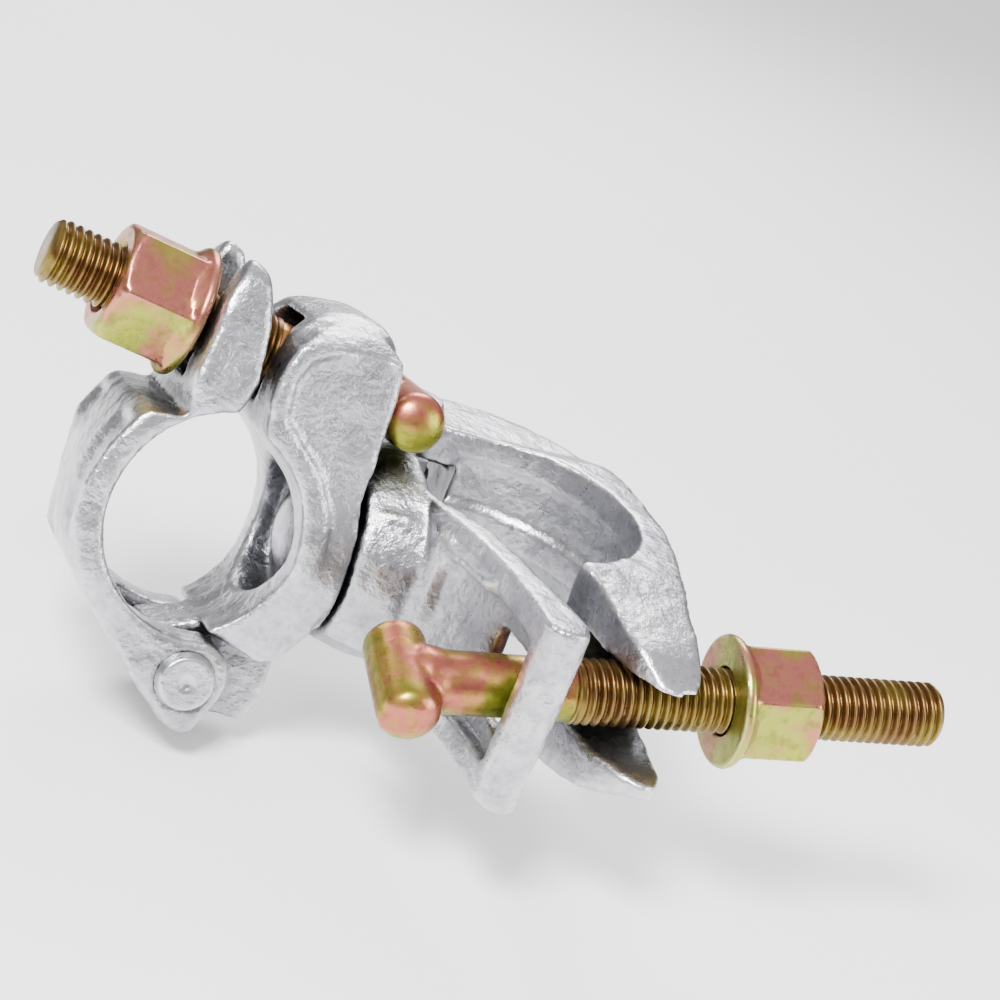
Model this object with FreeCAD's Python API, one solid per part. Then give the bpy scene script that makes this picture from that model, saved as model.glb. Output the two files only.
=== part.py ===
import FreeCAD, Part
import os
import math

# Drop-forged swivel coupler: two hinged tube clamps turning on one rivet.
# Millimetres. +Z is the axis of the larger tube, X is the swivel axis and the
# origin is the centre of the larger tube seat. The smaller clamp lies on -X.
V = FreeCAD.Vector

# ---- driving dimensions -------------------------------------------------
BORE_S = 24.25          # seat radius for a 48.3 tube
BORE_L = 30.25          # seat radius for a 60.3 tube
REACH_S = 36.6          # tube axis to swivel plane, small clamp
REACH_L = 42.9          # tube axis to swivel plane, large clamp
TILT_DEG = -11.7        # small tube axis against the plane square to the large tube
DISC_GAP = 0.4          # half the gap between the swivel faces
BODY_HALF_W = 21.5      # half width of a saddle along its tube
CAP_HALF_W = 19.0       # half width of a flap
TONGUE_HALF = 7.2       # hinge tongue of the saddle
EAR_IN = 7.5            # inner face of each flap ear
SLOT_HALF = 8.4         # fork slot and bolt eye
PIN_R = 5.0             # hinge rivet shank
PIN_RUN = 0.06          # running clearance of the rivet in the tongue
HINGE_S = (-9.8, -31.9)
HINGE_L = (-20.5, -37.0)
CAPC_S = (-8.6, 0.8)    # bore centre of the small flap as it hangs, drawn in past the tube
CAPC_L = (-9.6, 3.2)   # bore centre of the large flap
SHANK_R = 6.5
THREAD_R = 6.9          # major radius of the M14 thread
NUT_BORE_R = 6.96
HEX_AF = 23.0
FLANGE_R = 14.0
NUT_H = 18.6
FLANGE_H = 3.4
RIVET_R = 8.0           # swivel rivet shank
RIVET_RUN = 0.06
BOLT_S_T = (-42.9, 30.9, 0.0)     # cross-head centre, small clamp
BOLT_S_DIR = (0.984, 0.178, 0.0)
BOLT_S_LEN = 81.6
BOLT_L_T = (-36.0, 49.4, 4.2)     # cross-head centre, large clamp
BOLT_L_DIR = (0.990, 0.0, -0.141)
BOLT_L_LEN = 118.0
HEAD_R = 6.6
HEAD_HALF_S = 18.0
HEAD_HALF_L = 13.2
NUT_S_AT = 49.2         # flange face along each bolt from the head centre
NUT_L_AT = 69.0


# ---- helpers -------------------------------------------------------------
def local_frame(side):
    """Matrix from clamp coordinates (x outboard, y to the bolt, z along the tube)."""
    if side == "small":
        a = math.radians(TILT_DEG)
        x, y, z = (-1, 0, 0), (0, -math.sin(a), math.cos(a)), (0, math.cos(a), math.sin(a))
        o = (-REACH_S - REACH_L, 0, 0)
    else:
        x, y, z = (1, 0, 0), (0, -1, 0), (0, 0, -1)
        o = (0, 0, 0)
    return FreeCAD.Matrix(x[0], y[0], z[0], o[0],
                          x[1], y[1], z[1], o[1],
                          x[2], y[2], z[2], o[2],
                          0, 0, 0, 1)


def poly(points, z0, z1):
    w = Part.makePolygon([V(p[0], p[1], z0) for p in points] + [V(points[0][0], points[0][1], z0)])
    return Part.Face(w).extrude(V(0, 0, z1 - z0))


def spl(points, z0, z1):
    """Prism on a closed smooth outline through the points."""
    c = Part.BSplineCurve()
    c.interpolate(Points=[V(p[0], p[1], z0) for p in points], PeriodicFlag=True)
    return Part.Face(Part.Wire([c.toShape()])).extrude(V(0, 0, z1 - z0))


def prism_yz(points, x0, x1):
    w = Part.makePolygon([V(x0, p[0], p[1]) for p in points] + [V(x0, points[0][0], points[0][1])])
    return Part.Face(w).extrude(V(x1 - x0, 0, 0))


def prism_xz(points, y0, y1):
    w = Part.makePolygon([V(p[0], y0, p[1]) for p in points] + [V(points[0][0], y0, points[0][1])])
    return Part.Face(w).extrude(V(0, y1 - y0, 0))


def cyl(p, d, r, h):
    return Part.makeCylinder(r, h, V(*p), V(*d))


def zcyl(c, r, z0, z1):
    return Part.makeCylinder(r, z1 - z0, V(c[0], c[1], z0), V(0, 0, 1))


def ring(c, r0, r1, z0, z1):
    return zcyl(c, r1, z0, z1).cut(zcyl(c, r0, z0 - 1, z1 + 1))


def wedge(c, a0, a1, r, z0, z1):
    n = 12
    pts = [c]
    for i in range(n + 1):
        a = math.radians(a0 + (a1 - a0) * i / n)
        pts.append((c[0] + r * math.cos(a), c[1] + r * math.sin(a)))
    return poly(pts, z0, z1)


def fuse(items):
    s = items[0]
    for i in items[1:]:
        s = s.fuse(i)
    return s


def soften(shape, r, test):
    """Fillet the edges that pass the test, keeping the sharp shape if it fails."""
    es = []
    for e in shape.Edges:
        try:
            if e.Length > 2.0 * r and test(e):
                es.append(e)
        except Exception:
            pass
    if not es:
        return shape
    for rr in (r, r * 0.6):
        try:
            s = shape.makeFillet(rr, es)
            if s.isValid() and s.Volume > 0.5 * shape.Volume:
                return s
        except Exception:
            continue
    return shape


def solid_of(shape):
    s = shape.removeSplitter()
    sol = sorted(s.Solids, key=lambda q: -q.Volume)
    return sol[0]


def out(name, shape, side=None):
    s = solid_of(shape)
    if side:
        s = s.copy()
        s.Placement = FreeCAD.Placement(local_frame(side))
    s.exportStep("parts/" + name + ".step")
    b = s.BoundBox
    print(name, "valid", s.isValid(), "solids", len(shape.removeSplitter().Solids),
          "vol", round(s.Volume), "box", [round(q, 1) for q in (b.XMin, b.YMin, b.ZMin, b.XMax, b.YMax, b.ZMax)])
    return s


os.makedirs("parts", exist_ok=True)

# ---- small saddle -----------------------------------------------------------
W = BODY_HALF_W
x_face = -REACH_S + DISC_GAP
side = [(-10.6, 21.0), (-10.0, 30.0), (-10.6, 36.5), (-12.6, 41.6), (-17.5, 45.0), (-25.0, 46.6), (-31.5, 46.2),
        (-35.4, 43.0), (-36.0, 36.0), (-35.8, 24.0), (-35.2, 12.0), (-35.2, 0.0), (-34.8, -9.0), (-33.4, -17.5),
        (-29.4, -24.6), (-24.3, -26.0), (-18.3, -23.4), (-12.4, -21.6), (-9.5, -19.0), (-9.0, 0.0)]
body = poly(side, -W, W)
# the arch that closes the eye over the bolt
arch = poly([(-12.0, 40.0), (-13.4, 43.6), (-16.8, 46.6), (-22.0, 48.4), (-28.0, 48.9), (-32.6, 47.8), (-35.2, 44.5),
             (-35.6, 40.0)], -13.0, 13.0)
body = body.fuse(arch)
body = body.common(prism_yz([(-60, -14.5), (-24, -15.0), (2, -W), (42.0, -W), (45.8, -16.0), (49.0, -7.0), (49.0, 7.0), (45.8, 16.0),
                             (42.0, W), (2, W), (-24, 15.0), (-60, 14.5)], -60, 10))
# swivel boss
boss = cyl((x_face, 0, 0), (1, 0, 0), 21.0, 16.0)
boss = boss.common(poly([(-50, -40), (-14, -40), (-14, 40), (-50, 40)], -30, 30))
body = body.fuse(boss)
# hinge tongue and lug
tongue = poly([(-31.0, -18.0), (-30.2, -35.0), (-27.4, -41.2), (-20.5, -41.0), (-14.0, -41.0), (-9.8, -41.2), (-4.5, -39.6),
               (-1.4, -35.5), (-0.6, -31.0), (-0.4, -27.0), (-1.2, -24.2), (-4.0, -22.6), (-9.0, -22.0), (-12.0, -20.0), (-20.0, -12.0)],
              -TONGUE_HALF, TONGUE_HALF)
body = body.fuse(tongue)
# room for the ears of the flap on both sides of the tongue
for s in (-1, 1):
    z0, z1 = (EAR_IN - 0.3, 30.0) if s > 0 else (-30.0, -EAR_IN + 0.3)
    body = body.cut(zcyl(HINGE_S, 10.0, z0, z1))
    body = body.cut(poly([(-9.8, -60), (-9.8, -21.9), (10, -15), (10, -60)], z0, z1))
# bore, relieved in the middle round the rivet head
body = body.cut(zcyl((0, 0), BORE_S, -40, 40))
body = body.cut(cyl((-BORE_S - 5.2, 0, 0), (1, 0, 0), 14.5, 40))
# bolt eye: slot through the cheeks under the arch
eye = poly([(-60, 22.0), (-37.5, 23.2), (-30.0, 24.4), (2, 30.5), (2, 47.0), (-11.0, 44.7), (-37.0, 41.2), (-60, 37.0)], -SLOT_HALF, SLOT_HALF)
body = body.cut(eye)


def bolt_fan(t, d, half_deg, r_side, half_w, length):
    """The space the bolt sweeps as it swings about its cross-head, in the clamp's own plane."""
    a0 = math.atan2(d[1], d[0])
    lo, hi = a0 - math.radians(half_deg), a0 + math.radians(half_deg)
    p = []
    for ang, s in ((lo, -1), (hi, 1)):
        nx, ny = -math.sin(ang) * s * r_side, math.cos(ang) * s * r_side
        q = [(t[0] + nx, t[1] + ny), (t[0] + nx + length * math.cos(ang), t[1] + ny + length * math.sin(ang))]
        p += q if s < 0 else q[::-1]
    return poly(p, -half_w, half_w)


body = body.cut(bolt_fan(BOLT_S_T, BOLT_S_DIR, 4.6, SHANK_R + 0.45, SHANK_R + 0.9, 60.0))
# recessed web inside a raised rim on both flanks
web = [(-14.2, 26.5), (-13.6, 34.5), (-16.0, 39.2), (-21.5, 42.2), (-29.0, 42.8), (-37.5, 41.8), (-37.5, -6.0), (-34.0, -14.0),
       (-30.2, -19.4), (-26.6, -17.4), (-29.0, -10.0), (-29.8, 0.0), (-28.6, 9.0), (-24.6, 16.6), (-19.6, 21.4)]
for s in (-1, 1):
    z0, z1 = (W - 1.5, W + 5) if s > 0 else (-W - 5, -W + 1.5)
    body = body.cut(poly(web, z0, z1))
# running room for the cross-head
body = body.cut(cyl((BOLT_S_T[0], BOLT_S_T[1], -30), (0, 0, 1), HEAD_R + 0.35, 60))
# rivet holes
body = body.cut(cyl((-60, 0, 0), (1, 0, 0), RIVET_R, 60))
body = body.cut(zcyl(HINGE_S, PIN_R + PIN_RUN, -30, 30))
saddle_s = out("small_saddle", body, "small")

# ---- small flap ---------------------------------------------------------------
C = CAPC_S
C1 = (HINGE_S[0], HINGE_S[1])
W = CAP_HALF_W
outer = [(-7.6, 31.6), (-7.5, 39.0), (-6.0, 49.3), (-4.6, 53.4), (-1.2, 55.2), (2.4, 53.6), (3.4, 48.6), (4.2, 38.5), (6.0, 31.6),
         (10.4, 25.6), (15.0, 20.0), (19.4, 12.4), (22.0, 3.6), (21.9, -6.6), (18.2, -14.4), (11.8, -22.0), (4.0, -30.6), (-3.4, -38.2),
         (-8.6, -42.6), (-11.6, -43.6), (-14.6, -43.0), (-15.9, -39.6), (-18.2, -35.4), (-19.3, -31.4), (-18.4, -27.6),
         (-15.4, -24.4), (-11.0, -22.6), (-6.0, -21.8), (-5.0, 0.0), (-5.6, 26.0)]
cap = poly(outer, -W, W)
# crowned back rib
rib = ring(C, BORE_S + 2.0, BORE_S + 6.0, -9.0, 9.0).common(wedge(C, -64, 42, 60, -9.5, 9.5))
cap = cap.fuse(rib)
cap = cap.cut(zcyl(C, BORE_S, -40, 40))
# the flap's own relief bands inside the bore
for s in (-1, 1):
    z0, z1 = (4.0, 14.0) if s > 0 else (-14.0, -4.0)
    cap = cap.cut(ring(C, BORE_S - 1, BORE_S + 1.0, z0, z1).common(wedge(C, -60, 60, 60, -20, 20)))
# valley on the back, between the crown and each rim
for s in (-1, 1):
    z0, z1 = (9.0, 15.5) if s > 0 else (-15.5, -9.0)
    cap = cap.cut(ring(C, BORE_S + 4.8, BORE_S + 16, z0, z1).common(wedge(C, -50, 36, 60, -20, 20)))
# forging draft across the back
cap = cap.cut(prism_xz([(22.6, -19.5), (19.2, 19.5), (40, 19.5), (40, -19.5)], -30.0, 30.0))
# hinge fork
cap = cap.cut(poly([(-40, -60), (-40, -19.0), (-9, -17.0), (0.0, -15.2), (3.4, -17.0), (3.8, -21.5), (3.2, -26.5), (2.8, -33.0), (0, -60)], -EAR_IN, EAR_IN))
# bolt fork, open at the tips
cap = cap.cut(poly([(-30, 27.5), (30, 31.5), (30, 70), (-30, 70)], -SLOT_HALF, SLOT_HALF))
cap = cap.cut(bolt_fan(BOLT_S_T, BOLT_S_DIR, 4.6, THREAD_R + 0.45, SHANK_R + 0.9, 90.0))
# tips taper across the width
cap = cap.common(prism_yz([(-60, -17.2), (-23, -17.2), (-14, -W), (30, -W), (44, -17.6), (52, -15.2), (58, -10.0), (58, 10.0), (52, 15.2),
                           (44, 17.6), (30, W), (-14, W), (-23, 17.2), (-60, 17.2)], -60, 60))
# face of the tines swept about the cross-head, so the nut can swing over it
cap = cap.common(zcyl((BOLT_S_T[0], BOLT_S_T[1]), NUT_S_AT - 0.35, -40, 40)
                 .fuse(poly([(-60, -80), (60, -80), (60, 22.0), (-60, 22.0)], -40, 40)))
cap = cap.cut(zcyl(HINGE_S, PIN_R, -40, 40))
flap_s = out("small_flap", cap, "small")


# ---- hinge rivets ----------------------------------------------------------------
def hinge_rivet(c, ear_half):
    s = zcyl(c, PIN_R, -ear_half, ear_half)
    for sg in (-1, 1):
        base = V(c[0], c[1], sg * ear_half)
        head = Part.makeCone(6.6, 5.6, 2.6, base, V(0, 0, sg))
        head = head.cut(Part.makeSphere(2.6, V(c[0], c[1], sg * (ear_half + 4.6))))
        s = s.fuse(head)
    return s


rivet_hs = out("small_hinge_rivet", hinge_rivet(HINGE_S, 17.2), "small")

# ---- large saddle: open ring frame for its bolt -----------------------------------
x_face = -REACH_L + DISC_GAP
R = BORE_L
ZR = 20.5
# seat shell with its two rims
shell = ring((0, 0), R - 2, R + 4.4, -ZR, ZR).common(wedge((0, 0), 128, 236, 80, -ZR - 1, ZR + 1))
# flared back between the swivel boss and the seat
flare = poly([(-42.0, -15.5), (-42.0, 15.5), (-33.0, 18.5), (-27.5, 25.5), (-21.5, 26.5), (-19.0, 20.0), (-19.0, -22.0), (-21.0, -30.0), (-29.0, -24.5), (-35.0, -18.0)], -17.5, 17.5)
flare = flare.common(prism_xz([(-43.0, -15.0), (-34.0, -16.5), (-28.0, -17.5), (-10.0, -17.5), (-10.0, 17.5), (-28.0, 17.5), (-34.0, 16.5), (-43.0, 15.0)], -60, 60))
body = shell.fuse(flare)
# legs of the frame, one on each side of the bolt
leg = [(-18.6, 23.4), (-17.0, 30.0), (-13.6, 40.4), (-10.2, 51.0), (-8.4, 57.4), (-7.6, 61.0), (-8.6, 64.6), (-11.6, 66.4), (-15.2, 65.6), (-17.6, 61.6),
       (-18.0, 54.0), (-19.6, 44.0), (-22.4, 34.0), (-25.6, 26.0), (-29.4, 18.5), (-24.0, 17.0)]
for s in (-1, 1):
    z0, z1 = (14.0, ZR + 0.6) if s > 0 else (-ZR - 0.6, -14.0)
    body = body.fuse(poly(leg, z0, z1))
# end bar that closes the frame
bar = poly([(-17.4, 58.6), (-13.4, 57.2), (-9.6, 57.8), (-7.6, 60.6), (-8.2, 64.4), (-11.4, 66.4), (-15.2, 65.8), (-17.8, 62.4)], -ZR, ZR)
body = body.fuse(bar)
# ribs running from the boss to the legs
for s in (-1, 1):
    z0, z1 = (11.5, 16.5) if s > 0 else (-16.5, -11.5)
    body = body.fuse(poly([(-38.0, 8.0), (-29.6, 16.6), (-27.4, 27.0), (-22.0, 40.0), (-19.0, 40.0), (-19.0, 24.0), (-25.0, 14.0), (-30.0, 6.0)], z0, z1))
boss = Part.makeCone(21.0, 23.6, 11.6, V(x_face, 0, 0), V(1, 0, 0)).fuse(Part.makeCone(23.6, 20.4, 7.0, V(x_face + 11.6, 0, 0), V(1, 0, 0)))
boss = boss.common(poly([(-60, -22.0), (-34.0, -21.0), (-27, -16.0), (-20, -10.0), (-20, 14.0), (-27, 22.0), (-34, 23.0), (-60, 23.0)], -40, 40))
body = body.fuse(boss)
# hinge tongue
tongue = poly([(-31.0, -12.0), (-29.3, -24.0), (-28.9, -32.0), (-28.4, -38.0), (-26.4, -42.2), (-22.8, -44.6), (-18.6, -44.5), (-15.2, -42.7), (-13.2, -39.6),
               (-12.8, -35.6), (-13.6, -32.0), (-15.0, -29.4), (-16.4, -26.5), (-17.0, -20.0)], -TONGUE_HALF, TONGUE_HALF)
body = body.fuse(tongue)
# the rims draw in toward the hinge
body = body.common(prism_yz([(-60, -9.0), (-30, -11.5), (-6, -19.5), (16, -ZR - 0.6), (70, -ZR - 0.6), (70, ZR + 0.6), (16, ZR + 0.6), (-6, 19.5), (-30, 11.5), (-60, 9.0)], -60, 60).fuse(cyl((x_face, 0, 0), (1, 0, 0), 23.8, 17.0)))
for s in (-1, 1):
    z0, z1 = (EAR_IN - 0.3, 30.0) if s > 0 else (-30.0, -EAR_IN + 0.3)
    body = body.cut(zcyl(HINGE_L, 9.9, z0, z1))
    body = body.cut(poly([(-20.5, -60), (-20.5, -27.6), (-17.6, -25.6), (-8.0, -23.0), (14, -22), (14, -60)], z0, z1))
body = body.cut(zcyl((0, 0), R, -40, 40))
body = body.cut(cyl((-R - 5.2, 0, 0), (1, 0, 0), 14.5, 40))
# clearance for the small clamp's cross-head as the halves swivel
sweep = cyl((-REACH_L - 1, 0, 0), (1, 0, 0), 60.0, 14.6).cut(cyl((-REACH_L - 2, 0, 0), (1, 0, 0), 23.7, 18))
body = body.cut(sweep)
# open window for the bolt
body = body.cut(poly([(-60, 26.5), (-26.8, 26.5), (-16.0, 30.0), (10, 36.0), (10, 56.8), (-12, 56.8), (-18.0, 58.6), (-60, 58.6)], -13.8, 13.8))
# floor of the pocket, up to the bolt
web = poly([(-18.6, 23.4), (-17.0, 30.0), (-14.4, 38.0), (-13.4, 41.4), (-16.8, 42.4), (-19.6, 36.6), (-22.8, 29.0), (-26.6, 23.0), (-24.0, 17.0)], -15.0, 15.0)
body = body.fuse(web)
cheek = poly([(-17.6, 38.0), (-14.2, 38.6), (-10.6, 50.4), (-9.2, 57.6), (-14.8, 58.6), (-15.2, 50.0)], -15.0, 15.0)
cheek = cheek.cut(poly([(-60, 41.6), (20, 41.6), (20, 57.0), (-60, 57.0)], -8.6, 10.0))
body = body.fuse(cheek)
ax_l = V(BOLT_L_DIR[0], BOLT_L_DIR[1], BOLT_L_DIR[2])
body = body.cut(Part.makeCylinder(SHANK_R + 0.8, 70.0, V(*BOLT_L_T) - ax_l * 10, ax_l))
# the bar thins towards its far end
body = body.cut(prism_xz([(-7.0, -24), (-9.4, 24), (6, 24), (6, -24)], 54.0, 80.0))
body = body.cut(zcyl((0, 0), R, -40, 40))
body = body.cut(cyl((-60, 0, 0), (1, 0, 0), RIVET_R + RIVET_RUN, 60))
body = body.cut(zcyl(HINGE_L, PIN_R + PIN_RUN, -30, 30))
saddle_l = out("large_saddle", body, "large")

# ---- large flap -----------------------------------------------------------------------
C = CAPC_L
W = 22.0
outer = [(-1.6, 31.5), (1.6, 38.0), (3.4, 48.0), (6.4, 57.0), (10.4, 63.6), (14.6, 66.6), (18.4, 65.0), (20.4, 60.6), (21.4, 51.0), (22.0, 42.0),
         (23.6, 32.0), (26.2, 20.0), (27.6, 8.0), (27.4, -4.0), (25.4, -18.0), (21.6, -27.0), (16.6, -34.4), (7.6, -42.0), (-3.0, -46.0), (-12.0, -46.6), (-17.6, -46.2), (-22.0, -46.2),
         (-26.6, -44.2), (-29.4, -40.0), (-29.7, -36.0), (-28.2, -31.6), (-25.0, -28.8), (-20.6, -27.7), (-15.0, -27.2), (-10.0, -20.0), (-9.0, 3.0), (-4.0, 24.0)]
cap = poly(outer, -W, W)
rib = ring(C, R + 2.0, R + 9.4, -10.0, 10.0).common(wedge(C, -72, 36, 70, -10.5, 10.5))
cap = cap.fuse(rib)
cap = cap.cut(zcyl(C, R, -40, 40))
for s in (-1, 1):
    z0, z1 = (3.4, 14.6) if s > 0 else (-14.6, -3.4)
    cap = cap.cut(ring(C, R - 1, R + 1.2, z0, z1).common(wedge(C, -92, 54, 60, -20, 20)))
for s in (-1, 1):
    z0, z1 = (10.0, 17.0) if s > 0 else (-17.0, -10.0)
    cap = cap.cut(ring(C, R + 5.6, R + 18, z0, z1).common(wedge(C, -50, 30, 70, -20, 20)))
cap = cap.cut(poly([(-50, -70), (-50, -22.0), (-12.0, -22.0), (-10.4, -27.0), (-8.8, -31.0), (-8.4, -37.0), (-9.4, -43.0), (-14.0, -70)], -EAR_IN, EAR_IN))
# rounded-out root of the hinge fork
cap = cap.cut(poly([(-50, -36.0), (-50, -22.0), (-12.0, -22.0), (-10.4, -27.0), (-8.8, -31.0), (-8.6, -36.0)], -11.5, 11.5))
fork = poly([(-30, 38.0), (40, 40.6), (40, 80), (-30, 80)], -20, 20)
fork = fork.common(prism_xz([(-30, SLOT_HALF), (40, SLOT_HALF), (40, -0.9 - 0.141 * 40 - 9.0), (-30, -0.9 + 0.141 * 30 - 9.0)], -10, 100))
cap = cap.cut(fork)
cap = cap.common(prism_yz([(-70, -20.0), (-29, -20.0), (-22, -W), (32, -W), (46, -19.6), (57, -16.8), (62, -13.8), (70, -9.6), (70, 9.6), (62, 13.8),
                           (57, 16.8), (46, 19.6), (32, W), (-22, W), (-29, 20.0), (-70, 20.0)], -60, 60))
cap = cap.cut(zcyl(HINGE_L, PIN_R, -40, 40))
flap_l = out("large_flap", cap, "large")
rivet_hl = out("large_hinge_rivet", hinge_rivet(HINGE_L, 20.0), "large")


# ---- bolts and nuts ---------------------------------------------------------------------
def t_bolt(head_half, length, thread_len, roll_deg):
    """Along local +X from the cross-head centre, the head bar along local Z before the roll."""
    bar = Part.makeCylinder(HEAD_R, 2 * head_half, V(0, 0, -head_half), V(0, 0, 1))
    bar = bar.makeFillet(4.6, [e for e in bar.Edges if isinstance(e.Curve, Part.Circle)])
    bar.rotate(V(0, 0, 0), V(1, 0, 0), -roll_deg)
    s0 = length - thread_len
    profile = [(0, 0), (0, 4.0), (3.6, SHANK_R + 0.6), (8.5, SHANK_R), (s0, SHANK_R),
               (s0 + 0.4, THREAD_R), (length - 1.4, THREAD_R), (length, THREAD_R - 1.4), (length, 0), (0, 0)]
    stem = Part.Face(Part.makePolygon([V(x, y, 0) for x, y in profile])).revolve(V(0, 0, 0), V(1, 0, 0), 360)
    return bar.fuse(stem).removeSplitter()


def flange_nut(at):
    hexpts = [V(at, HEX_AF / math.sqrt(3) * math.cos(math.radians(60 * i + 30)), HEX_AF / math.sqrt(3) * math.sin(math.radians(60 * i + 30))) for i in range(7)]
    h = Part.Face(Part.makePolygon(hexpts)).extrude(V(NUT_H, 0, 0))
    h = h.common(Part.makeCone(HEX_AF / 2 + 14, HEX_AF / 2 - 0.6, NUT_H + 0.001, V(at, 0, 0), V(1, 0, 0)).fuse(
        Part.makeCylinder(HEX_AF / 2 + 0.9, NUT_H, V(at, 0, 0), V(1, 0, 0))))
    f = Part.makeCylinder(FLANGE_R, FLANGE_H * 0.6, V(at, 0, 0), V(1, 0, 0))
    f = f.fuse(Part.makeCone(FLANGE_R, HEX_AF / 2 + 0.4, FLANGE_H * 0.6, V(at + FLANGE_H * 0.6, 0, 0), V(1, 0, 0)))
    n = h.fuse(f)
    return n.cut(Part.makeCylinder(NUT_BORE_R, NUT_H + 2, V(at - 1, 0, 0), V(1, 0, 0)))


def place(shape, t, d, side):
    x = V(*d).normalize()
    z = V(0, 0, 1) - x * x.z
    z.normalize()
    y = z.cross(x)
    m = FreeCAD.Matrix(x.x, y.x, z.x, t[0], x.y, y.y, z.y, t[1], x.z, y.z, z.z, t[2], 0, 0, 0, 1)
    s = shape.copy()
    s.Placement = FreeCAD.Placement(local_frame(side) * m)
    return s


def out_placed(name, shape, t, d, side):
    s = place(solid_of(shape), t, d, side)
    s.exportStep("parts/" + name + ".step")
    b = s.BoundBox
    print(name, "valid", s.isValid(), "vol", round(s.Volume), "box",
          [round(q, 1) for q in (b.XMin, b.YMin, b.ZMin, b.XMax, b.YMax, b.ZMax)])
    return s


bolt_s = out_placed("small_t_bolt", t_bolt(HEAD_HALF_S, BOLT_S_LEN, 50.0, 0.0), BOLT_S_T, BOLT_S_DIR, "small")
nut_s = out_placed("small_flange_nut", flange_nut(NUT_S_AT), BOLT_S_T, BOLT_S_DIR, "small")
bolt_l = out_placed("large_t_bolt", t_bolt(HEAD_HALF_L, BOLT_L_LEN, 82.0, 75.0), BOLT_L_T, BOLT_L_DIR, "large")
nut_l = out_placed("large_flange_nut", flange_nut(NUT_L_AT), BOLT_L_T, BOLT_L_DIR, "large")

# ---- swivel rivet -----------------------------------------------------------------------
x_left = -REACH_L - REACH_S + (BORE_S + 5.2)      # floor of the pocket in the small seat
x_right = -(BORE_L + 5.2)                         # floor of the pocket in the large seat
shank = Part.makeCylinder(RIVET_R, x_right - x_left + 0.6, V(x_left - 0.3, 0, 0), V(1, 0, 0))


def dome(x, s, gap):
    h = 4.6
    rb = 10.6
    rad = (rb * rb + h * h) / (2 * h)
    ball = Part.makeSphere(rad, V(x + s * (gap + h - rad), 0, 0))
    return ball.common(Part.makeCylinder(rb, h + 1, V(x + s * gap, 0, 0), V(s, 0, 0)))


rivet = shank.fuse(dome(x_left, -1, 0.0)).fuse(dome(x_right, 1, 0.25))
rivet_s = out("swivel_rivet", rivet)
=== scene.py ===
"""Swivel tube coupler: forged galvanized halves, passivated cross-headed bolts and flanged nuts."""
import bpy, bmesh, math
from mathutils import Vector, Matrix


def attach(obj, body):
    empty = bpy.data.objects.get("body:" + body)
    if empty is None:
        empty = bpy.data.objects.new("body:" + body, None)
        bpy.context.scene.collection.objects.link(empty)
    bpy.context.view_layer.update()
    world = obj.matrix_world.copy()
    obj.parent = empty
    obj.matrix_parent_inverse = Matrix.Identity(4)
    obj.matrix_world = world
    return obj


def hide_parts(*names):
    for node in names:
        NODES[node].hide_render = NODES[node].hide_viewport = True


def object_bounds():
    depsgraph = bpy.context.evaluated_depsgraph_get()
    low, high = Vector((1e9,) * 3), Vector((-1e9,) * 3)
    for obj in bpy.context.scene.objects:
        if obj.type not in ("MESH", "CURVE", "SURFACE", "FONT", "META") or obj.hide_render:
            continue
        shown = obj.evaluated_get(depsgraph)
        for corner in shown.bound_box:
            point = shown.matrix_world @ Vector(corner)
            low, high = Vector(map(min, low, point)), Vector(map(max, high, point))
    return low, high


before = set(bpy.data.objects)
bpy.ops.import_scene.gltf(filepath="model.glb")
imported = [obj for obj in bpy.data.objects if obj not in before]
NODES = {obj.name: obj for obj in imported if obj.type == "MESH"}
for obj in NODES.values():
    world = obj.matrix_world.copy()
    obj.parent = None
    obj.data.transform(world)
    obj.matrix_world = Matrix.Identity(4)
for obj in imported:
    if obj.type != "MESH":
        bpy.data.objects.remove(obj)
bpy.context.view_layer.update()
MM = 0.001

# ------------------------------------------------------------------ materials


def nt(name):
    m = bpy.data.materials.new(name)
    m.use_nodes = True
    t = m.node_tree
    t.nodes.clear()
    out = t.nodes.new("ShaderNodeOutputMaterial")
    bs = t.nodes.new("ShaderNodeBsdfPrincipled")
    t.links.new(bs.outputs[0], out.inputs[0])
    return m, t, bs


def noise(t, coord, scale, detail=4.0, rough=0.55):
    n = t.nodes.new("ShaderNodeTexNoise")
    n.inputs["Scale"].default_value = scale
    n.inputs["Detail"].default_value = detail
    n.inputs["Roughness"].default_value = rough
    t.links.new(coord, n.inputs["Vector"])
    return n


def ramp(t, fac, stops):
    r = t.nodes.new("ShaderNodeValToRGB")
    e = r.color_ramp.elements
    while len(e) < len(stops):
        e.new(0.5)
    for i, (p, c) in enumerate(stops):
        e[i].position = p
        e[i].color = (c[0], c[1], c[2], 1.0)
    t.links.new(fac, r.inputs["Fac"])
    return r


def math_node(t, op, a, b=None, clamp=False):
    n = t.nodes.new("ShaderNodeMath")
    n.operation = op
    n.use_clamp = clamp
    for i, v in enumerate((a, b)):
        if v is None:
            continue
        if isinstance(v, (int, float)):
            n.inputs[i].default_value = v
        else:
            t.links.new(v, n.inputs[i])
    return n.outputs[0]


def mix_rgb(t, fac, a, b, mode="MIX"):
    n = t.nodes.new("ShaderNodeMix")
    n.data_type = "RGBA"
    n.blend_type = mode
    t.links.new(fac, n.inputs[0]) if not isinstance(fac, (int, float)) else setattr(n.inputs[0], "default_value", fac)
    for sock, v in ((n.inputs[6], a), (n.inputs[7], b)):
        if isinstance(v, tuple):
            sock.default_value = (v[0], v[1], v[2], 1.0)
        else:
            t.links.new(v, sock)
    return n.outputs[2]


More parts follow.
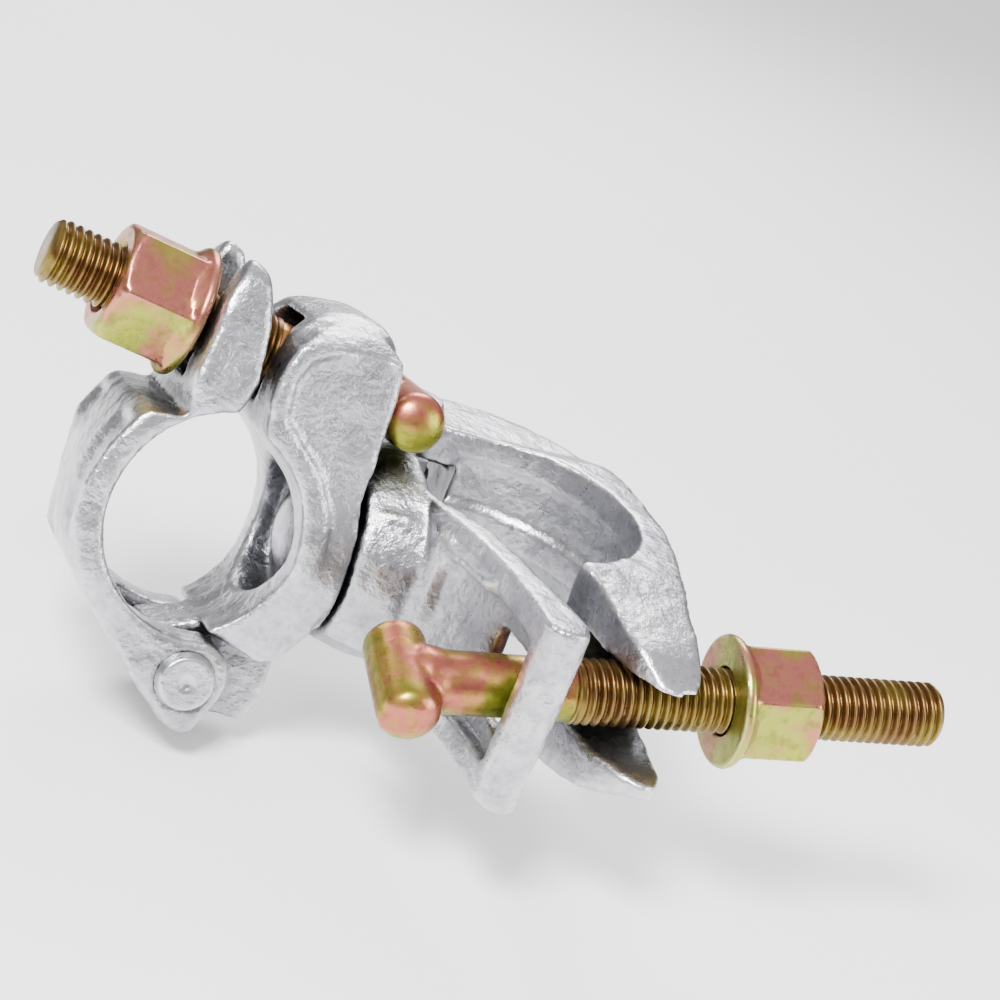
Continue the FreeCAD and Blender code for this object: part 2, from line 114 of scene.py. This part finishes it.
def forged_zinc(name, tint=1.0, pebble=1.0):
    """Hot-dip galvanized forging: bright zinc over a wrinkled skin, painted shade darkening the hollows and creases,
    rubbed bright on the edges.
    """
    m, t, bs = nt(name)
    co = t.nodes.new("ShaderNodeTexCoord").outputs["Object"]
    geo = t.nodes.new("ShaderNodeNewGeometry")
    big = noise(t, co, 55.0, 3.0)
    mid = noise(t, co, 300.0, 5.0, 0.62)
    peb = noise(t, co, 780.0, 4.0, 0.55)
    fine = noise(t, co, 2400.0, 3.0, 0.6)
    base = ramp(t, big.outputs[0], [(0.32, (0.42 * tint, 0.42 * tint, 0.45 * tint)), (0.50, (0.54 * tint, 0.54 * tint, 0.575 * tint)),
                                     (0.70, (0.70 * tint, 0.70 * tint, 0.73 * tint))])
    speck = ramp(t, mid.outputs[0], [(0.34, (0.60, 0.60, 0.62)), (0.54, (1.0, 1.0, 1.0))])
    col = mix_rgb(t, 0.50, base.outputs[0], speck.outputs[0], "MULTIPLY")
    grain = ramp(t, peb.outputs[0], [(0.34, (0.66, 0.66, 0.67)), (0.50, (1.0, 1.0, 1.0))])
    col = mix_rgb(t, 0.55 * pebble, col, grain.outputs[0], "MULTIPLY")
    # painted shade: ambient occlusion darkens the zinc colour in recesses, under bosses and between parts
    ao = t.nodes.new("ShaderNodeAmbientOcclusion")
    ao.samples = 6
    ao.inputs["Distance"].default_value = 0.020
    shade = ramp(t, ao.outputs["AO"], [(0.25, (0.07, 0.07, 0.075)), (0.92, (1.0, 1.0, 1.0))])
    col = mix_rgb(t, 0.85, col, shade.outputs[0], "MULTIPLY")
    edge = ramp(t, geo.outputs["Pointiness"], [(0.505, (0, 0, 0)), (0.56, (1, 1, 1))])
    col = mix_rgb(t, math_node(t, "MULTIPLY", edge.outputs[0], 0.5), col, (0.88, 0.88, 0.885))
    # painted shade: concave creases (low pointiness) darkened towards dark grey
    crease_shade = ramp(t, geo.outputs["Pointiness"], [(0.44, (1, 1, 1)), (0.495, (0, 0, 0))])
    col = mix_rgb(t, math_node(t, "MULTIPLY", crease_shade.outputs[0], 0.55), col, (0.22, 0.22, 0.225))
    t.links.new(col, bs.inputs["Base Color"])
    bs.inputs["Metallic"].default_value = 1.0
    rr = ramp(t, mid.outputs[0], [(0.3, (0.38, 0.38, 0.38)), (0.7, (0.25, 0.25, 0.25))])
    t.links.new(rr.outputs[0], bs.inputs["Roughness"])
    last = None
    for tex, strength, dist in ((mid, 0.24 * pebble, 0.0008), (peb, 0.62 * pebble, 0.00045), (fine, 0.30, 0.00012)):
        bmp = t.nodes.new("ShaderNodeBump")
        bmp.inputs["Strength"].default_value = strength
        bmp.inputs["Distance"].default_value = dist
        t.links.new(tex.outputs[0], bmp.inputs["Height"])
        if last:
            t.links.new(last.outputs[0], bmp.inputs["Normal"])
        last = bmp
    t.links.new(last.outputs[0], bs.inputs["Normal"])
    return m


def passivated(name, a, b, c, d, rough=0.30, shift=0.0, worn=(0.62, 0.56, 0.30)):
    """Chromate-passivated zinc plate: thin-film colours drifting over a satin metal, painted shade darkening the roots.
    """
    m, t, bs = nt(name)
    co = t.nodes.new("ShaderNodeTexCoord").outputs["Object"]
    geo = t.nodes.new("ShaderNodeNewGeometry")
    big = noise(t, co, 78.0, 2.0, 0.5)
    mid = noise(t, co, 330.0, 4.0, 0.6)
    fine = noise(t, co, 1500.0, 3.0)
    nrm = t.nodes.new("ShaderNodeSeparateXYZ")
    t.links.new(geo.outputs["Normal"], nrm.inputs[0])
    drift = math_node(t, "ADD", big.outputs[0], math_node(t, "MULTIPLY", nrm.outputs["Z"], 0.13))
    drift = math_node(t, "ADD", drift, math_node(t, "MULTIPLY", mid.outputs[0], 0.22))
    drift = math_node(t, "ADD", drift, shift - 0.11)
    r = ramp(t, drift, [(0.30, a), (0.44, b), (0.54, c), (0.64, d), (0.76, c), (0.90, b)])
    dirt = ramp(t, mid.outputs[0], [(0.34, (0.42, 0.38, 0.30)), (0.50, (1, 1, 1))])
    col = mix_rgb(t, 0.5, r.outputs[0], dirt.outputs[0], "MULTIPLY")
    # painted shade: concave thread roots and inner corners (low pointiness) darkened towards dark brown
    crease_shade = ramp(t, geo.outputs["Pointiness"], [(0.40, (1, 1, 1)), (0.485, (0, 0, 0))])
    col = mix_rgb(t, math_node(t, "MULTIPLY", crease_shade.outputs[0], 0.75), col, (0.10, 0.055, 0.022))
    edge = ramp(t, geo.outputs["Pointiness"], [(0.515, (0, 0, 0)), (0.60, (1, 1, 1))])
    col = mix_rgb(t, math_node(t, "MULTIPLY", edge.outputs[0], 0.40), col, worn)
    t.links.new(col, bs.inputs["Base Color"])
    bs.inputs["Metallic"].default_value = 0.92
    rr = ramp(t, mid.outputs[0], [(0.3, (rough + 0.14,) * 3), (0.7, (rough - 0.04,) * 3)])
    t.links.new(rr.outputs[0], bs.inputs["Roughness"])
    b1 = t.nodes.new("ShaderNodeBump")
    b1.inputs["Strength"].default_value = 0.22
    b1.inputs["Distance"].default_value = 0.0004
    t.links.new(mid.outputs[0], b1.inputs["Height"])
    b2 = t.nodes.new("ShaderNodeBump")
    b2.inputs["Strength"].default_value = 0.16
    b2.inputs["Distance"].default_value = 0.0001
    t.links.new(fine.outputs[0], b2.inputs["Height"])
    t.links.new(b1.outputs[0], b2.inputs["Normal"])
    t.links.new(b2.outputs[0], bs.inputs["Normal"])
    return m


MAT_FORGE = forged_zinc("forged_zinc_skin")
MAT_FORGE_B = forged_zinc("forged_zinc_flap", 1.05, 0.8)
MAT_RIVET = forged_zinc("rivet_zinc_skin", 1.04, 0.5)
OLIVE, LIME, GOLD, PINK, RUST = (0.20, 0.20, 0.020), (0.36, 0.38, 0.040), (0.40, 0.24, 0.050), (0.46, 0.12, 0.095), (0.34, 0.17, 0.08)
MAT_BOLT = passivated("passivated_bolt", LIME, OLIVE, GOLD, PINK, 0.28, 0.02)
MAT_THREAD = passivated("passivated_thread", (0.19, 0.135, 0.030), (0.22, 0.15, 0.030), (0.155, 0.085, 0.022), (0.13, 0.055, 0.018), 0.30, 0.0, (0.42, 0.31, 0.12))
MAT_NUT = passivated("passivated_nut", LIME, (0.36, 0.36, 0.060), (0.44, 0.22, 0.09), (0.50, 0.15, 0.13), 0.26, 0.0)


def set_mat(obj, mat):
    obj.data.materials.clear()
    obj.data.materials.append(mat)


CLOUDS = {}


def cloud(name, size, depth):
    if name not in CLOUDS:
        c = bpy.data.textures.new(name, "CLOUDS")
        c.noise_scale = size
        c.noise_depth = depth
        CLOUDS[name] = c
    return CLOUDS[name]


def hammered(obj, strength):
    """The slight unevenness of a forging: broad waves, then small lumps."""
    for key, size, depth, k in (("broad", 0.011, 1, 1.0), ("lumps", 0.0032, 2, 0.42)):
        d = obj.modifiers.new(key, "DISPLACE")
        d.texture = cloud(key, size, depth)
        d.texture_coords = "LOCAL"
        d.mid_level = 0.5
        d.strength = strength * k


def soften(obj, voxel, iters, factor=0.5):
    """Rounds a forging's edges: fine even skin, then relaxed."""
    r = obj.modifiers.new("skin", "REMESH")
    r.mode = "VOXEL"
    r.voxel_size = voxel
    r.use_smooth_shade = True
    s = obj.modifiers.new("relax", "SMOOTH")
    s.factor = factor
    s.iterations = iters


for name, mat, it in (("small_saddle", MAT_FORGE, 32), ("small_flap", MAT_FORGE_B, 46), ("large_saddle", MAT_FORGE, 32), ("large_flap", MAT_FORGE_B, 30)):
    set_mat(NODES[name], mat)
    soften(NODES[name], 0.00055, it, 0.5)
    hammered(NODES[name], 0.0008)
for name in ("small_hinge_rivet", "large_hinge_rivet", "swivel_rivet"):
    set_mat(NODES[name], MAT_RIVET)
    soften(NODES[name], 0.0004, 4)

# ------------------------------------------------------------------ bolts and nuts
TILT = math.radians(-11.7)
CA, SA = math.cos(TILT), math.sin(TILT)


def local_to_row(side):
    if side == "small":
        return Matrix(((-1, 0, 0, -79.5), (0, -SA, CA, 0), (0, CA, SA, 0), (0, 0, 0, 1)))
    return Matrix(((1, 0, 0, 0), (0, -1, 0, 0), (0, 0, -1, 0), (0, 0, 0, 1)))


def bolt_matrix(t, d, side):
    x = Vector(d).normalized()
    z = (Vector((0, 0, 1)) - x * x.z).normalized()
    y = z.cross(x)
    m = Matrix(((x.x, y.x, z.x, t[0]), (x.y, y.y, z.y, t[1]), (x.z, y.z, z.z, t[2]), (0, 0, 0, 1)))
    return Matrix.Scale(MM, 4) @ local_to_row(side) @ m


def new_obj(name, bm, mat, mw):
    bm.transform(mw)
    bmesh.ops.recalc_face_normals(bm, faces=bm.faces[:])
    me = bpy.data.meshes.new(name)
    bm.to_mesh(me)
    bm.free()
    ob = bpy.data.objects.new(name, me)
    bpy.context.scene.collection.objects.link(ob)
    me.materials.append(mat)
    for p in me.polygons:
        p.use_smooth = True
    return ob


def thread_mesh(bm, x0, x1, r_out, depth, pitch, runout, end_chamfer, seg=64, per=12):
    """Helical thread: one grid whose radius follows the helix, closed at both ends."""
    n = int((x1 - x0) / pitch * per)
    rings = []
    for i in range(n + 1):
        x = x0 + (x1 - x0) * i / n
        ring = []
        for j in range(seg):
            a = 2 * math.pi * j / seg
            ph = (x / pitch - j / seg) % 1.0
            tri = 1 - abs(2 * ph - 1)
            w = min(1.0, max(0.0, (tri - 0.10) / 0.72))
            k = 1.0
            if x < x0 + runout:
                k = max(0.0, (x - x0) / runout)
            r = r_out - depth * k * (1 - w)
            if x > x1 - end_chamfer:
                r = min(r, r_out - (x - (x1 - end_chamfer)) * 0.9)
            ring.append(bm.verts.new((x, r * math.cos(a), r * math.sin(a))))
        rings.append(ring)
    for i in range(n):
        for j in range(seg):
            bm.faces.new((rings[i][j], rings[i][(j + 1) % seg], rings[i + 1][(j + 1) % seg], rings[i + 1][j]))
    bm.faces.new(rings[0][::-1])
    bm.faces.new(rings[-1])


def lathe(bm, prof, seg=64):
    rings = []
    for x, r in prof:
        rings.append([bm.verts.new((x, r * math.cos(2 * math.pi * j / seg), r * math.sin(2 * math.pi * j / seg))) for j in range(seg)])
    for i in range(len(prof) - 1):
        for j in range(seg):
            bm.faces.new((rings[i][j], rings[i][(j + 1) % seg], rings[i + 1][(j + 1) % seg], rings[i + 1][j]))
    bm.faces.new(rings[0][::-1])
    bm.faces.new(rings[-1])


def head_bar(bm, half, r, roll, seg=40):
    """Cross-head: a round bar with domed ends, across the shank."""
    a = math.radians(roll)
    d = Vector((0, math.sin(a), math.cos(a)))
    u = Vector((1, 0, 0))
    v = d.cross(u)
    prof = []
    e = r * 0.62
    for i in range(9):
        ang = math.pi / 2 * i / 8
        prof.append((-(half - e) - e * math.cos(ang), max(0.02, r * math.sin(ang)) if i else 0.25))
    for i in range(1, 24):
        prof.append((-(half - e) + 2 * (half - e) * i / 24, r))
    for i in range(9):
        ang = math.pi / 2 * i / 8
        prof.append(((half - e) + e * math.sin(ang), r * math.cos(ang) if i < 8 else 0.25))
    rings = []
    for s, rr in prof:
        rings.append([bm.verts.new(d * s + (u * math.cos(2 * math.pi * j / seg) + v * math.sin(2 * math.pi * j / seg)) * rr) for j in range(seg)])
    for i in range(len(prof) - 1):
        for j in range(seg):
            bm.faces.new((rings[i][j], rings[i][(j + 1) % seg], rings[i + 1][(j + 1) % seg], rings[i + 1][j]))
    bm.faces.new(rings[0][::-1])
    bm.faces.new(rings[-1])


def t_bolt(tag, node, t, d, side, half, length, thread_len, roll, body, hr=6.5):
    mw = bolt_matrix(t, d, side)
    bm = bmesh.new()
    head_bar(bm, half, hr, roll)
    lathe(bm, [(0.0, 6.0), (2.6, 7.0), (4.4, 7.4), (6.4, 7.1), (8.6, 6.6), (10.2, 6.5), (length - thread_len - 1.0, 6.5), (length - thread_len, 6.45)])
    ob = new_obj(tag + "_t_bolt_head", bm, MAT_BOLT, mw)
    soften(ob, 0.0005, 6)
    bm = bmesh.new()
    thread_mesh(bm, length - thread_len - 0.4, length, 6.9, 1.05, 2.0, 3.5, 1.2)
    th = new_obj(tag + "_t_bolt_thread", bm, MAT_THREAD, mw)
    for o in (ob, th):
        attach(o, body)
        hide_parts(node)
    return mw


def flange_nut(tag, node, mw, at, body, nut_h=18.6, af=23.0, fr=14.0, fh=3.4):
    """Hexagon nut with a domed flange, chamfered corners and a countersunk mouth."""
    bm = bmesh.new()
    seg = 144
    R = af / 2

    def hex_r(a, cham):
        k = (a + math.pi / 6) % (math.pi / 3) - math.pi / 6
        return min(R / math.cos(k), cham)

    levels = []
    # flange underside, rim, cone, hexagon, chamfered top, mouth
    rows = [(at, 7.6, None), (at, fr - 0.7, None), (at + 0.4, fr - 0.2, None), (at + 1.1, fr, None), (at + 1.9, fr - 0.15, None), (at + 2.4, fr - 0.7, None)]
    for x, r, _ in rows:
        levels.append([(x, r) for j in range(seg)])
    corner = R / math.cos(math.pi / 6)
    for k, (x, c) in enumerate([(at + fh - 0.2, None), (at + fh + 0.9, None), (at + fh + 3, None), (at + nut_h * 0.55, None), (at + nut_h - 3.0, None), (at + nut_h - 1.9, corner - 0.15),
                                (at + nut_h - 0.9, R + 0.75), (at + nut_h - 0.1, R - 0.35), (at + nut_h, R - 0.9)]):
        row = []
        for j in range(seg):
            a = 2 * math.pi * j / seg
            r = hex_r(a, c if c else corner - 0.12)
            if k == 0:
                r = max(r, R + 1.0)
            row.append((x, r))
        levels.append(row)
    for x, r in ((at + nut_h, 8.1), (at + nut_h - 0.3, 7.8), (at + nut_h - 1.2, 7.0), (at + 1.0, 7.0)):
        levels.append([(x, r) for j in range(seg)])
    rings = [[bm.verts.new((p[0], p[1] * math.cos(2 * math.pi * j / seg), p[1] * math.sin(2 * math.pi * j / seg))) for j, p in enumerate(row)] for row in levels]
    for i in range(len(rings)):
        nx = rings[(i + 1) % len(rings)]
        for j in range(seg):
            bm.faces.new((rings[i][j], rings[i][(j + 1) % seg], nx[(j + 1) % seg], nx[j]))
    ob = new_obj(tag + "_flange_nut_skin", bm, MAT_NUT, mw)
    bv = ob.modifiers.new("edge", "BEVEL")
    bv.width = 0.0005
    bv.segments = 2
    bv.limit_method = "ANGLE"
    bv.angle_limit = math.radians(34)
    ob.modifiers.new("wn", "WEIGHTED_NORMAL")
    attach(ob, body)
    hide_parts(node)
    return ob


mw = t_bolt("small", "small_t_bolt", (-42.9, 30.9, 0.0), (0.984, 0.178, 0.0), "small", 18.0, 81.6, 50.0, 0.0, "small_bolt")
flange_nut("small", "small_flange_nut", mw, 49.2, "small_nut")
mw = t_bolt("large", "large_t_bolt", (-36.0, 49.4, 4.2), (0.990, 0.0, -0.141), "large", 13.2, 118.0, 82.0, 75.0, "large_bolt")
flange_nut("large", "large_flange_nut", mw, 69.0, "large_nut")

# ------------------------------------------------------------------ stage, light, camera
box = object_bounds()
z_floor = box[0][2] - 0.0005
bm = bmesh.new()
s = 7.0
vs = [bm.verts.new((x * s, y * s, z_floor)) for x, y in ((-1, -1), (1, -1), (1, 1), (-1, 1))]
bm.faces.new(vs)
me = bpy.data.meshes.new("floor")
bm.to_mesh(me); bm.free()
floor = bpy.data.objects.new("floor", me)
bpy.context.scene.collection.objects.link(floor)
fm, ft, fb = nt("floor_paper")
fn = noise(ft, ft.nodes.new("ShaderNodeTexCoord").outputs["Object"], 6.0)
fr_ = ramp(ft, fn.outputs[0], [(0.3, (0.90, 0.90, 0.90)), (0.7, (0.93, 0.93, 0.93))])
ft.links.new(fr_.outputs[0], fb.inputs["Base Color"])
fb.inputs["Roughness"].default_value = 0.9
fb.inputs["Emission Color"].default_value = (1.0, 1.0, 1.0, 1.0)
fb.inputs["Emission Strength"].default_value = 0.42
me.materials.append(fm)

w = bpy.data.worlds.new("soft")
bpy.context.scene.world = w
w.use_nodes = True
bg = w.node_tree.nodes["Background"]
wt = w.node_tree
wc = wt.nodes.new("ShaderNodeTexCoord")
ws = wt.nodes.new("ShaderNodeSeparateXYZ")
wt.links.new(wc.outputs["Generated"], ws.inputs[0])
wm = wt.nodes.new("ShaderNodeMapRange")
wm.inputs["From Min"].default_value = -1.0
wm.inputs["From Max"].default_value = 1.0
wt.links.new(ws.outputs["Z"], wm.inputs["Value"])
wr = ramp(wt, wm.outputs[0], [(0.0, (0.10, 0.10, 0.10)), (0.50, (0.07, 0.072, 0.076)), (0.60, (0.17, 0.172, 0.176)), (0.76, (0.85, 0.85, 0.85)), (1.0, (1.0, 1.0, 1.0))])
wt.links.new(wr.outputs[0], bg.inputs[0])
bg.inputs[1].default_value = 0.9


def area(name, pos, target, size, power):
    l = bpy.data.lights.new(name, "AREA")
    l.shape = "SQUARE"
    l.size = size
    l.energy = power
    o = bpy.data.objects.new(name, l)
    o.location = pos
    o.rotation_euler = (Vector(target) - Vector(pos)).to_track_quat("-Z", "Y").to_euler()
    bpy.context.scene.collection.objects.link(o)


area("key", (-0.45, -0.45, 0.70), (-0.03, 0, 0), 0.26, 21.0)
area("fill", (0.75, -0.50, 0.30), (0.0, 0, 0), 0.45, 7.0)
area("back", (0.15, 0.75, 0.65), (0.0, 0, 0), 0.50, 9.0)

cam = bpy.data.cameras.new("cam")
cam.sensor_width = 36.0
cam.lens = 93.8
cam.clip_start = 0.01
co = bpy.data.objects.new("cam", cam)
right = Vector((0.9027, -0.2504, 0.3498)).normalized()
back = Vector((-0.3746, -0.8574, 0.3530)).normalized()
up = back.cross(right).normalized()
right = up.cross(back).normalized()
M = Matrix((right, up, back)).transposed().to_4x4()
M.translation = Vector((-0.2192, -0.4809, 0.2156))
co.matrix_world = M
bpy.context.scene.collection.objects.link(co)
bpy.context.scene.camera = co
